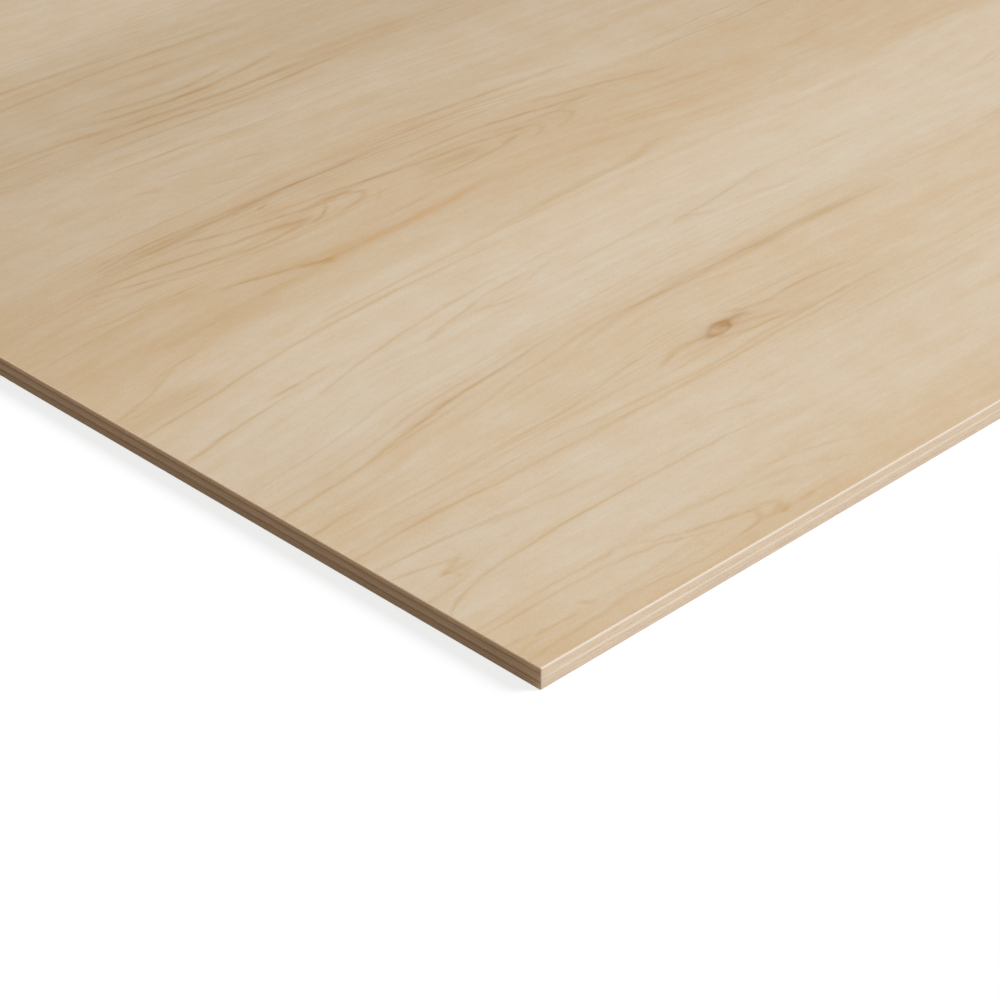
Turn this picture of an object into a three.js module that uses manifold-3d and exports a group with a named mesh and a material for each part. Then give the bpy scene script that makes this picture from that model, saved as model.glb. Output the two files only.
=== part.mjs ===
// A full sheet of five-ply plywood, lying flat with its face veneer up.
// Millimetres, +Z up. The origin is the middle of the underside, and the face grain runs along X.
//
// The sheet is modelled the way one is made: five veneers, each turned a quarter from the next, are
// glued into one panel, the panel is trimmed to size, and its arrises and upright corners are eased.
// So the trimmed panel is one body, and each veneer is the slice of it between two glue lines.

import * as THREE from "three";
import { mergeVertices } from "three/addons/utils/BufferGeometryUtils.js";
import Module from "manifold-3d";

// The trimmed panel
const SHEET_LENGTH = 2440;
const SHEET_WIDTH = 1220;

// Veneers: the two outer ones are alike, and so are the two crossbands, which keeps the panel balanced
const OUTER_VENEER_THICKNESS = 3.75;
const CROSSBAND_THICKNESS = 3.5;
const CORE_VENEER_THICKNESS = 3.5;

// Easing by a sander
const ARRIS_RADIUS = 1.1;
const UPRIGHT_CORNER_RADIUS = 1.6;

// How finely the round parts are drawn
const ARRIS_SEGMENTS = 5;
const CORNER_SEGMENTS = 5;

// A slice reaches this far past the panel's outline, so that only its two glue lines cut
const SLICE_MARGIN = 10;

// Glue lines lie on a grid of 1/1024 mm, which 32-bit numbers hold exactly, so that two veneers
// meet in one plane
const GLUE_LINE_GRID = 1024;

const MATERIALS = {
  face: { color: 0xd6bf9f, roughness: 0.58 },
  crossband: { color: 0xc2a27c, roughness: 0.78 },
  core: { color: 0xd2b994, roughness: 0.72 },
  back: { color: 0xcbb08b, roughness: 0.66 },
};

// From the underside up
const VENEERS = [
  { name: "back_veneer", thickness: OUTER_VENEER_THICKNESS, material: "back" },
  { name: "lower_crossband", thickness: CROSSBAND_THICKNESS, material: "crossband" },
  { name: "core_veneer", thickness: CORE_VENEER_THICKNESS, material: "core" },
  { name: "upper_crossband", thickness: CROSSBAND_THICKNESS, material: "crossband" },
  { name: "face_veneer", thickness: OUTER_VENEER_THICKNESS, material: "face" },
];

const wasm = await Module();
wasm.setup();

function toSolid(geometry) {
  geometry.deleteAttribute("normal");
  geometry.deleteAttribute("uv");
  const merged = mergeVertices(geometry);
  return new wasm.Manifold(
    new wasm.Mesh({
      numProp: 3,
      vertProperties: merged.attributes.position.array,
      triVerts: new Uint32Array(merged.index.array),
    }),
  );
}

function toGeometry(solid) {
  const { vertProperties, triVerts } = solid.getMesh();
  const indexed = new THREE.BufferGeometry()
    .setAttribute("position", new THREE.BufferAttribute(vertProperties, 3))
    .setIndex(new THREE.BufferAttribute(triVerts, 1));
  const geometry = indexed.toNonIndexed(); // unshared corners keep the flat faces flat-shaded
  geometry.computeVertexNormals();
  return geometry;
}

// The panel's plan: a rectangle whose four corners are quarter circles.
function panelOutline() {
  const x = SHEET_LENGTH / 2 - UPRIGHT_CORNER_RADIUS;
  const y = SHEET_WIDTH / 2 - UPRIGHT_CORNER_RADIUS;
  const quarter = Math.PI / 2;
  const outline = new THREE.Shape();
  outline.absarc(x, y, UPRIGHT_CORNER_RADIUS, 0, quarter, false);
  outline.absarc(-x, y, UPRIGHT_CORNER_RADIUS, quarter, 2 * quarter, false);
  outline.absarc(-x, -y, UPRIGHT_CORNER_RADIUS, 2 * quarter, 3 * quarter, false);
  outline.absarc(x, -y, UPRIGHT_CORNER_RADIUS, 3 * quarter, 4 * quarter, false);
  return outline;
}

// The trimmed and eased panel: the plan pulled up through the thickness, with a quarter round at
// the top and bottom arrises that eats into the plan and not into the thickness.
function trimmedPanel(thickness) {
  const geometry = new THREE.ExtrudeGeometry(panelOutline(), {
    depth: thickness - 2 * ARRIS_RADIUS,
    curveSegments: CORNER_SEGMENTS,
    bevelThickness: ARRIS_RADIUS,
    bevelSize: ARRIS_RADIUS,
    bevelOffset: -ARRIS_RADIUS,
    bevelSegments: ARRIS_SEGMENTS,
  });
  geometry.translate(0, 0, ARRIS_RADIUS);
  return toSolid(geometry);
}

// The slice of the panel between two heights, moved down to stand on z = 0.
function veneerBetween(panel, low, high) {
  const slab = new THREE.BoxGeometry(
    SHEET_LENGTH + 2 * SLICE_MARGIN,
    SHEET_WIDTH + 2 * SLICE_MARGIN,
    high - low,
  );
  slab.translate(0, 0, (low + high) / 2);
  const geometry = toGeometry(panel.intersect(toSolid(slab)));
  return geometry.translate(0, 0, -low);
}

// Heights of the underside, of each glue line and of the face, from the underside up.
function glueLineHeights() {
  const heights = [0];
  for (const { thickness } of VENEERS) {
    const height = heights.at(-1) + thickness;
    heights.push(Math.round(height * GLUE_LINE_GRID) / GLUE_LINE_GRID);
  }
  return heights;
}

function plywoodSheet() {
  const heights = glueLineHeights();
  const panel = trimmedPanel(heights.at(-1));
  const sheet = new THREE.Group();
  VENEERS.forEach(({ name, material }, i) => {
    const geometry = veneerBetween(panel, heights[i], heights[i + 1]);
    const finish = new THREE.MeshStandardMaterial({ ...MATERIALS[material], metalness: 0 });
    const veneer = new THREE.Mesh(geometry, finish);
    veneer.name = name;
    veneer.position.z = heights[i];
    sheet.add(veneer);
  });
  return sheet;
}

export default plywoodSheet();
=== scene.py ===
import math

import bmesh
import bpy
import numpy as np
from mathutils import Matrix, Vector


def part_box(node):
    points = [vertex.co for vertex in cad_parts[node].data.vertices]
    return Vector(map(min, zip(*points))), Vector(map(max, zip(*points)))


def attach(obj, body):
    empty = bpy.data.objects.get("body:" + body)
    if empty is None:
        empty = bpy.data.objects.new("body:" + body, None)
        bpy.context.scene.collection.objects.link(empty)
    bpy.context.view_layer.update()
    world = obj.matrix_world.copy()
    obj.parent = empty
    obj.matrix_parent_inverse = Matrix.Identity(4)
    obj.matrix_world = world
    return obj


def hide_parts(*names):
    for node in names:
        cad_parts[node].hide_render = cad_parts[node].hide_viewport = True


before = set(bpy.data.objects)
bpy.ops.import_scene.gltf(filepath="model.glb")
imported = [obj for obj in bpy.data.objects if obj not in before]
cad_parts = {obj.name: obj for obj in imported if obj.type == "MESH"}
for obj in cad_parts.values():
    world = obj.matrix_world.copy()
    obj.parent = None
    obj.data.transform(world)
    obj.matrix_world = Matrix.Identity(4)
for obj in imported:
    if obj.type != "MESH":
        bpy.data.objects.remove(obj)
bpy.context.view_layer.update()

# Lengths are in metres. The wood's patterns are drawn in millimetres, and so is what is named MM or mm.
MM = 0.001
BODY = "root"

# The sheet lies centred on the floor, so the far top corner of its face veneer gives its half sizes
# and its thickness.
HALF_LENGTH, HALF_WIDTH, SHEET_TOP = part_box("face_veneer")[1]
LENGTH_MM = 2 * HALF_LENGTH / MM
WIDTH_MM = 2 * HALF_WIDTH / MM
THICKNESS_MM = SHEET_TOP / MM

ARRIS_RADIUS = 1.1 * MM
UPRIGHT_CORNER_RADIUS = 1.6 * MM
GLUE_LINE_DEPTH = 0.06 * MM
GLUE_LINE_HALF = 0.14 * MM
QUARTER_TURN = math.pi / 2

# How finely a cut edge is divided: along the outline, round an upright corner, round an arris, and
# down the flat part of a veneer's edge.
COLUMN_STEP = 3.5 * MM
CORNER_STEPS = 6
ARRIS_STEPS = 6
EDGE_ROWS = 5

# The relief of a cut edge: how deep its saw chatter, waver and torn pits are, and the sizes of their
# cells along the edge and through the thickness. Pits are only where their noise passes the level.
CHATTER_DEPTH = 0.03 * MM
CHATTER_CELL = (3.1 * MM, 9 * MM)
WAVER_DEPTH = 0.05 * MM
WAVER_CELL = (45 * MM, 4 * MM)
PIT_DEPTH = 0.35 * MM
PIT_CELL = (5 * MM, 1.4 * MM)
PIT_LEVEL = 0.86

# Columns this close to an end of the sheet lie on it, and points this close together are one.
SAME_END = 0.01 * MM
SAME_POINT = 0.001 * MM

# Where faces meet at more than this, the edge between them is sharp.
SHARP_ANGLE = math.radians(35)

# The first veneer's seed, and how far apart the veneers' seeds lie.
SEED = 7
SEED_STEP = 10


# -------------------------------- surfaces

def lattice_noise(u, v, seed):
    """Smooth noise from 0 to 1: random values at whole numbers of (u, v), blended between them by
    the weight 3t^2 - 2t^3."""
    size = 256
    table = np.random.default_rng(seed).random((size, size))
    iu, iv = np.floor(u).astype(int), np.floor(v).astype(int)
    tu, tv = u - iu, v - iv
    tu, tv = tu * tu * (3 - 2 * tu), tv * tv * (3 - 2 * tv)
    low_u, high_u, low_v, high_v = iu % size, (iu + 1) % size, iv % size, (iv + 1) % size
    low = table[low_u, low_v] * (1 - tu) + table[high_u, low_v] * tu
    high = table[low_u, high_v] * (1 - tu) + table[high_u, high_v] * tu
    return low * (1 - tv) + high * tv


def outline_path():
    """The sheet's plan as columns, counter-clockwise: a point on the rectangle that lies one corner
    radius inside the outline, and the outward direction there, which turns a quarter at each corner."""
    half = np.array([HALF_LENGTH, HALF_WIDTH]) - UPRIGHT_CORNER_RADIUS
    corners = np.array([[1, -1], [1, 1], [-1, 1], [-1, -1]]) * half
    bases, turns = [], []
    for k, corner in enumerate(corners):
        start = corners[k - 1]
        count = int(round(np.linalg.norm(corner - start) / COLUMN_STEP))
        along = np.linspace(0, 1, count, endpoint=False)[1:, None]
        bases.append(start + (corner - start) * along)
        side_turn = (k - 1) * QUARTER_TURN
        turns.append(np.full(count - 1, side_turn))
        bases.append(np.repeat(corner[None], CORNER_STEPS + 1, axis=0))
        turns.append(side_turn + np.linspace(0, QUARTER_TURN, CORNER_STEPS + 1))
    base = np.concatenate(bases)
    turn = np.concatenate(turns)
    return base, np.stack([np.cos(turn), np.sin(turn)], axis=1)


def veneer_profile(low, high, round_top, round_bottom):
    """A veneer's cut edge from its top to its underside, as how far each row stands out past the
    inner rectangle, and its height. An eased arris is a quarter circle, and a glue line is a
    shallow nick. The first and last rows lie on the rectangle itself, where the flat caps begin."""
    full = UPRIGHT_CORNER_RADIUS
    quarter = np.linspace(0, QUARTER_TURN, ARRIS_STEPS + 1)
    eased = full - ARRIS_RADIUS * (1 - np.sin(quarter))
    if round_top:
        top_edge = high - ARRIS_RADIUS
        top = np.stack([eased, top_edge + ARRIS_RADIUS * np.cos(quarter)])
    else:
        top_edge = high - GLUE_LINE_HALF
        top = np.array([[full - GLUE_LINE_DEPTH, full], [high, top_edge]])
    if round_bottom:
        bottom_edge = low + ARRIS_RADIUS
        bottom = np.stack([eased, bottom_edge - ARRIS_RADIUS * np.cos(quarter)])[:, ::-1]
    else:
        bottom_edge = low + GLUE_LINE_HALF
        bottom = np.array([[full, full - GLUE_LINE_DEPTH], [bottom_edge, low]])
    between = np.linspace(top_edge, bottom_edge, EDGE_ROWS + 2)[1:-1]
    middle = np.stack([np.full(EDGE_ROWS, full), between])
    out, height = np.concatenate([[[0], [high]], top, middle, bottom, [[0], [low]]], axis=1)
    return out, height


def sawn_relief(along, height, seed):
    """How far a trimmed edge lies inside its true plane: fine saw chatter across the thickness,
    a slower waver along the edge and small pits where fibres tore out."""
    chatter = CHATTER_DEPTH * lattice_noise(along / CHATTER_CELL[0], height / CHATTER_CELL[1], seed)
    waver = WAVER_DEPTH * lattice_noise(along / WAVER_CELL[0], height / WAVER_CELL[1], seed + 1)
    pits = lattice_noise(along / PIT_CELL[0], height / PIT_CELL[1], seed + 2)
    return chatter + waver + PIT_DEPTH * np.clip(pits - PIT_LEVEL, 0, 1) / (1 - PIT_LEVEL)


def cap_bands(base, cuts):
    """The cap inside the outline as polygons of columns, counter-clockwise: one for each band
    between the cuts, which run the length of the sheet at those distances across it."""
    columns = np.arange(len(base))
    if not cuts:
        return [columns]
    right_end = columns[base[:, 0] > base[:, 0].max() - SAME_END]
    left_end = columns[base[:, 0] < base[:, 0].min() + SAME_END]
    right = [right_end[np.argmin(np.abs(base[right_end, 1] - cut))] for cut in cuts]
    left = [left_end[np.argmin(np.abs(base[left_end, 1] - cut))] for cut in cuts]
    first = np.concatenate([columns[left[0]:], columns[:right[0] + 1]])
    between = [
        np.concatenate([columns[right[k]:right[k + 1] + 1], columns[left[k + 1]:left[k] + 1]])
        for k in range(len(cuts) - 1)
    ]
    last = columns[right[-1]:left[-1] + 1]
    return [first, *between, last]


def make_veneer(name, low, high, round_top, round_bottom, inset, cuts, seed):
    """One veneer as a closed surface: its edge profile carried along the outline, and flat caps.
    Material slot 0 is the cut edge, the next are the bands of the top, and the last the underside.
    The narrow flat strips round the caps are finished as the caps are."""
    base, outward = outline_path()
    out, height = veneer_profile(low, high, round_top, round_bottom)
    step = np.linalg.norm(np.diff(base, axis=0, append=base[:1]), axis=1)
    along = np.concatenate([[0], np.cumsum(step)[:-1]])
    relief = inset + sawn_relief(along[None, :], height[:, None], seed)
    relief[[0, -1]] = 0
    plan = base[None] + outward[None] * (out[:, None] - relief)[..., None]
    rows, columns = relief.shape
    points = np.dstack([plan, np.broadcast_to(height[:, None, None], (rows, columns, 1))])

    index = np.arange(rows * columns).reshape(rows, columns)
    following = np.roll(index, -1, axis=1)
    quads = np.stack([index[:-1], index[1:], following[1:], following[:-1]], axis=-1).reshape(-1, 4)
    bands = cap_bands(base, cuts)
    underside = index[-1, ::-1]
    polygons = [quads.reshape(-1), *bands, underside]
    sizes = np.concatenate([np.full(len(quads), 4), [len(band) for band in bands], [columns]])
    strip = np.searchsorted(cuts, (base[:, 1] + np.roll(base[:, 1], -1)) / 2)
    cut_edge = np.zeros(len(quads) - 2 * columns)
    caps = np.arange(len(bands) + 1)
    slots = np.concatenate([strip + 1, cut_edge, np.full(columns, len(bands) + 1), caps + 1])
    return mesh_piece(name, points.reshape(-1, 3), np.concatenate(polygons), sizes, slots)


def mesh_piece(name, points, corners, sizes, slots):
    """An object from points, polygon corners in one row, polygon sizes and material slots."""
    mesh = bpy.data.meshes.new(name)
    mesh.vertices.add(len(points))
    mesh.vertices.foreach_set("co", points.reshape(-1).astype(np.float32))
    mesh.loops.add(len(corners))
    mesh.loops.foreach_set("vertex_index", corners.astype(np.int32))
    mesh.polygons.add(len(sizes))
    starts = np.concatenate([[0], np.cumsum(sizes)[:-1]])
    mesh.polygons.foreach_set("loop_start", starts.astype(np.int32))
    mesh.polygons.foreach_set("material_index", slots.astype(np.int32))
    mesh.update(calc_edges=True)
    work = bmesh.new()
    work.from_mesh(mesh)
    bmesh.ops.remove_doubles(work, verts=work.verts, dist=SAME_POINT)
    work.to_mesh(mesh)
    work.free()
    mesh.validate()
    mesh.shade_smooth()
    mesh.set_sharp_from_angle(angle=SHARP_ANGLE)
    piece = bpy.data.objects.new(name, mesh)
    bpy.context.scene.collection.objects.link(piece)
    return piece


# -------------------------------- material formulas

# How far apart the seeds' parts of the endless noise start, in cells.
NOISE_SEED_STEPS = (17.3, 9.1, 4.7)
NOISE_1D_SEED_STEP = 13.7


class Formula:
    """A node tree written as formulas: each method adds one or a few nodes and returns a socket.
    A node is made after those that it reads, which keeps the compiled shader's memory small."""

    def __init__(self, tree):
        self.tree = tree

    def node(self, kind, **settings):
        """A new node of this kind, with its settings."""
        made = self.tree.nodes.new(kind)
        for key, value in settings.items():
            setattr(made, key, value)
        return made

    def put(self, socket, value):
        """Gives the socket a fixed value, or links another node's result to it."""
        if isinstance(value, bpy.types.NodeSocket):
            self.tree.links.new(value, socket)
        else:
            socket.default_value = value

    def math(self, operation, *values):
        made = self.node("ShaderNodeMath", operation=operation)
        for socket, value in zip(made.inputs, values):
            self.put(socket, value)
        return made.outputs[0]

    def plus(self, a, b):
        return self.math("ADD", a, b)

    def minus(self, a, b):
        return self.math("SUBTRACT", a, b)

    def times(self, a, b):
        return self.math("MULTIPLY", a, b)

    def times_plus(self, a, b, c):
        """a times b, plus c."""
        return self.math("MULTIPLY_ADD", a, b, c)

    def past(self, value, at, size):
        """How many sizes the value lies past a place."""
        return self.times_plus(value, 1 / size, -at / size)

    def vary(self, value, noise, amount):
        """The value moved up or down by at most half the amount, as noise from 0 to 1 says."""
        return self.times_plus(self.minus(noise, 0.5), amount, value)

    def fall(self, power):
        """e to the minus power, which falls smoothly from 1 to 0."""
        return self.math("POWER", math.exp(-1), power)

    def smooth(self, value, low, high, out_low=0.0, out_high=1.0):
        """A smooth step from out_low, where the value is low, to out_high, where it is high."""
        made = self.node("ShaderNodeMapRange", interpolation_type="SMOOTHSTEP")
        for socket, given in zip(made.inputs, (value, low, high, out_low, out_high)):
            self.put(socket, given)
        return made.outputs[0]

    def curve(self, value, points):
        """A smooth curve through (value, result) points, held at its ends."""
        xs = [p[0] for p in points]
        ys = [p[1] for p in points]
        low, span = min(xs), max(xs) - min(xs)
        bottom, rise = min(ys), max(ys) - min(ys)
        share = self.past(value, low, span)
        made = self.node("ShaderNodeFloatCurve")
        made.mapping.extend = "HORIZONTAL"
        line = made.mapping.curves[0]
        line.points[0].location = (0, (ys[0] - bottom) / rise)
        line.points[1].location = (1, (ys[-1] - bottom) / rise)
        for x, y in points[1:-1]:
            line.points.new((x - low) / span, (y - bottom) / rise)
        made.mapping.update()
        self.put(made.inputs["Value"], share)
        return self.times_plus(made.outputs[0], rise, bottom)

    def hill(self, x, y, at, size):
        """A round hill of height 1: e to the minus ((x - at_x) / size_x)^2 + ((y - at_y) / size_y)^2."""
        a = self.past(x, at[0], size[0])
        b = self.past(y, at[1], size[1])
        return self.fall(self.times_plus(a, a, self.times(b, b)))

    def ridge(self, value, at, half_width):
        """A straight ridge of height 1: e to the minus ((value - at) / half_width)^2."""
        a = self.past(value, at, half_width)
        return self.fall(self.times(a, a))

    def noise(self, vector, cell_mm, seed, detail, rough, seed_shift=0):
        """Noise from 0 to 1, with cells of these sizes: two for a flat pattern, or three. The shift
        keeps pieces with the same pattern from looking alike."""
        flat = len(cell_mm) == 2
        scale = [1 / size for size in cell_mm]
        place = self.node("ShaderNodeVectorMath", operation="MULTIPLY_ADD")
        self.put(place.inputs[0], vector)
        place.inputs[1].default_value = scale + [1.0] if flat else scale
        place.inputs[2].default_value = [(seed + seed_shift) * step for step in NOISE_SEED_STEPS]
        made = self.node("ShaderNodeTexNoise", noise_dimensions="2D" if flat else "3D")
        self.put(made.inputs["Vector"], place.outputs[0])
        made.inputs["Scale"].default_value = 1.0
        made.inputs["Detail"].default_value = detail
        made.inputs["Roughness"].default_value = rough
        return made.outputs["Fac"]

    def noise_1d(self, value, cell_mm, seed):
        """Noise from 0 to 1 that follows one value."""
        place = self.times_plus(value, 1 / cell_mm, seed * NOISE_1D_SEED_STEP)
        made = self.node("ShaderNodeTexNoise", noise_dimensions="1D")
        self.put(made.inputs["W"], place)
        made.inputs["Scale"].default_value = 1.0
        made.inputs["Detail"].default_value = 0.0
        return made.outputs["Fac"]

    def mix(self, share, a, b):
        made = self.node("ShaderNodeMix", data_type="RGBA")
        self.put(made.inputs["Factor"], share)
        self.put(made.inputs["A"], a)
        self.put(made.inputs["B"], b)
        return made.outputs["Result"]

    def brighten(self, colour, amount):
        """The colour times amount: lighter or darker by the wood's own tone, and on the face also by
        painted shade.
        """
        made = self.node("ShaderNodeVectorMath", operation="SCALE")
        self.put(made.inputs[0], colour)
        self.put(made.inputs["Scale"], amount)
        return made.outputs[0]

    def joined(self, x, y):
        """A place from its two coordinates."""
        made = self.node("ShaderNodeCombineXYZ")
        self.put(made.inputs["X"], x)
        self.put(made.inputs["Y"], y)
        return made.outputs[0]

    def coordinates_mm(self, inset=0.0):
        """Object coordinates in millimetres, from a point that far inside the front left corner."""
        where = self.node("ShaderNodeTexCoord").outputs["Object"]
        place = self.node("ShaderNodeMapping")
        self.put(place.inputs["Vector"], where)
        place.inputs["Location"].default_value = (LENGTH_MM / 2 - inset, WIDTH_MM / 2 - inset, 0)
        place.inputs["Scale"].default_value = (1 / MM, 1 / MM, 1 / MM)
        vector = place.outputs["Vector"]
        split = self.node("ShaderNodeSeparateXYZ")
        self.put(split.inputs[0], vector)
        return vector, split.outputs["X"], split.outputs["Y"], split.outputs["Z"]

    def apply(self, group, *values):
        """A formula kept as a node group, with these values for its inputs."""
        made = self.node("ShaderNodeGroup", node_tree=group)
        for socket, value in zip(made.inputs, values):
            self.put(socket, value)
        return made.outputs[0]


# Sanded, unvarnished wood hardly shines.
MATTE = 0.15


class Finish(Formula):
    """A material for one surface."""

    def __init__(self, name):
        self.material = bpy.data.materials.new(name)
        self.material.use_nodes = True
        super().__init__(self.material.node_tree)
        self.shader = self.tree.nodes["Principled BSDF"]
        self.shader.inputs["Specular IOR Level"].default_value = MATTE

    def done(self, colour, roughness, height, distance):
        """The material, in this colour and roughness, and with relief as high as the distance."""
        bump = self.node("ShaderNodeBump")
        bump.inputs["Strength"].default_value = 1.0
        bump.inputs["Distance"].default_value = distance
        self.put(bump.inputs["Height"], height)
        self.put(self.shader.inputs["Base Color"], colour)
        self.put(self.shader.inputs["Roughness"], roughness)
        self.put(self.shader.inputs["Normal"], bump.outputs["Normal"])
        return self.material


def shared_formula(name, input_names, formula):
    """A node group that holds formula(f, *inputs), to be used many times."""
    tree = bpy.data.node_groups.new(name, "ShaderNodeTree")
    for input_name in input_names:
        tree.interface.new_socket(input_name, in_out="INPUT", socket_type="NodeSocketFloat")
    tree.interface.new_socket("Result", in_out="OUTPUT", socket_type="NodeSocketFloat")
    f = Formula(tree)
    given = f.node("NodeGroupInput").outputs
    result = formula(f, *(given[input_name] for input_name in input_names))
    f.put(f.node("NodeGroupOutput").inputs[0], result)
    return tree


def srgb(red, green, blue):
    """A colour written as 0 to 255 display values, as the linear colour that a shader takes."""
    def linear(c):
        c = c / 255
        return c / 12.92 if c <= 0.04045 else ((c + 0.055) / 1.055) ** 2.4
    return (linear(red), linear(green), linear(blue), 1.0)


# -------------------------------- the face's figure

# Places on the face are in mm, first along the grain and then across it, from a point this far
# inside the front left corner.
FIGURE_INSET_MM = 1.0

# The grain runs along the sheet, but its lines sink towards the front edge at the left end and
# again right of the middle. How strongly they sink along the sheet, and how many mm across it.
LEFT_SINK_ALONG = [(0, 1.0), (60, 0.78), (120, 0.57), (180, 0.36), (260, 0.2), (340, 0.08), (430, 0.0),
                   (2440, 0.0)]
LEFT_SINK_ACROSS = [(0, 2), (100, 4), (190, 6), (225, 18), (263, 50), (370, 52), (420, 48), (540, 38),
                    (660, 40), (740, 14), (840, -4), (890, -8), (1000, 0), (1220, 6)]
RIGHT_SINK_ALONG = [(0, 0.0), (500, 0.0), (600, 0.24), (700, 0.66), (800, 1.0), (1000, 1.1), (1400, 0.5),
                    (1900, -0.7), (2440, 0.2)]
RIGHT_SINK_ACROSS = [(0, 0), (300, 1), (400, 8), (480, 10), (540, 32), (650, 33), (740, 14), (900, 4),
                     (1220, -12)]

# How honey-coloured the wood is across the sheet, from 0, cream, to 1, and how bright it is: darker
# towards the back edge.
WARMTH_ACROSS = [(0, 0.68), (40, 0.52), (90, 0.28), (165, 0.29), (195, 0.42), (290, 0.5), (335, 0.3),
                 (365, 0.2), (430, 0.26), (490, 0.42), (540, 0.72), (615, 0.78), (690, 0.68), (730, 0.52),
                 (745, 0.6), (815, 0.48), (865, 0.76), (915, 0.62), (980, 0.7), (1080, 0.4), (1220, 0.6)]
LIGHT_ACROSS = [(0, 1.03), (110, 1.02), (240, 1.01), (320, 1.0), (430, 1.0), (520, 0.955), (640, 0.915),
                (720, 0.9), (800, 0.885), (880, 0.84), (1000, 0.84), (1120, 0.9), (1220, 0.86)]

# How much more honey-coloured it is along the sheet.
WARMTH_ALONG = [(0, 0.12), (60, 0.07), (140, 0.0), (620, 0.0), (760, -0.05), (2440, -0.05)]

# Painted shade along the sheet: the wood is darkened a little near the left end, where the light falls
# off.
PAINTED_SHADE_ALONG = [(0, 0.945), (60, 0.95), (120, 0.965), (220, 0.977), (320, 0.987), (430, 0.994),
               (700, 1.003), (2440, 1.003)]

# Patches of the face: (centre, half sizes, how much more honey-coloured, how much more light).
TONE_PATCHES = [
    ((560, 190), (110, 60), 0.10, -0.018),
    ((600, 392), (60, 20), 0.05, -0.018),
    ((720, 665), (110, 30), -0.20, 0.024),
    ((400, 612), (60, 20), -0.05, 0.022),
    ((200, 592), (60, 14), -0.05, 0.022),
    ((880, 520), (90, 25), -0.18, 0.0),
    ((60, 210), (120, 40), 0.0, 0.010),
    ((200, 205), (80, 22), -0.12, 0.0),
    ((60, 50), (90, 70), 0.0, 0.022),
    ((130, 46), (110, 13), 0.16, -0.004),
    ((30, 290), (50, 16), 0.16, 0.004),
    ((100, 440), (50, 16), 0.08, -0.013),
    ((550, 228), (70, 18), 0.06, -0.014),
    ((570, 338), (140, 24), -0.12, 0.0),
    ((545, 573), (140, 17), -0.13, 0.012),
    ((400, 519), (80, 12), -0.12, 0.006),
    ((300, 612), (50, 16), -0.08, 0.022),
    ((610, 665), (60, 16), -0.10, 0.012),
    ((450, 692), (100, 18), -0.03, 0.022),
    ((560, 782), (100, 24), -0.11, 0.012),
    ((480, 890), (60, 40), -0.10, 0.024),
]

# How strong the fine rings are across the sheet.
RING_STRENGTH_ACROSS = [(0, 0.34), (120, 0.16), (200, 0.5), (250, 0.4), (285, 0.12), (320, 0.4),
                        (420, 0.24), (520, 0.2), (590, 0.5), (690, 0.7), (735, 0.3), (790, 0.42),
                        (870, 0.6), (960, 0.5), (1220, 0.5)]

# What is added to it along the sheet: towards the right end the rings take the growth lines' place.
RING_STRENGTH_ALONG = [(0, 0.0), (850, 0.0), (1250, 0.5), (2440, 0.5)]

# The rings' spacing, the size of the stretches where they crowd together, how many more of them that
# brings at most, and where their count starts.
RING_SPACING_MM = 8.0
CROWDED_STRETCH_MM = 55
CROWDING_SEED = 11
RING_CROWDING = 5.0
RING_COUNT_START = 40.0

# Over which shares of its spacing a ring darkens and then ends, and how strong the faintest one is.
RING_DARKENS = (0.3, 0.86)
RING_ENDS = (1.0, 0.88)
RING_FAINTEST = 0.2

# The pattern of patches in which the rings come out as it rises between these values, and their depth.
RING_PATCHES = ((300, 16), 12, 1.0, 0.5)
RING_PATCH_RISE = (0.36, 0.66)
RING_DEPTH = 0.42

# Broad swells in the grain: (centre, half sizes, height). The lines bend round a swell, and close
# into eyes and hooks where it is higher than it is wide.
SWELLS = [
    ((-20, 128), (70, 20), 24),
    ((120, 34), (110, 16), 20),
    ((270, 606), (120, 17), 15),
    ((540, 604), (95, 16), 12),
    ((700, 372), (90, 18), 14),
]

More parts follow.
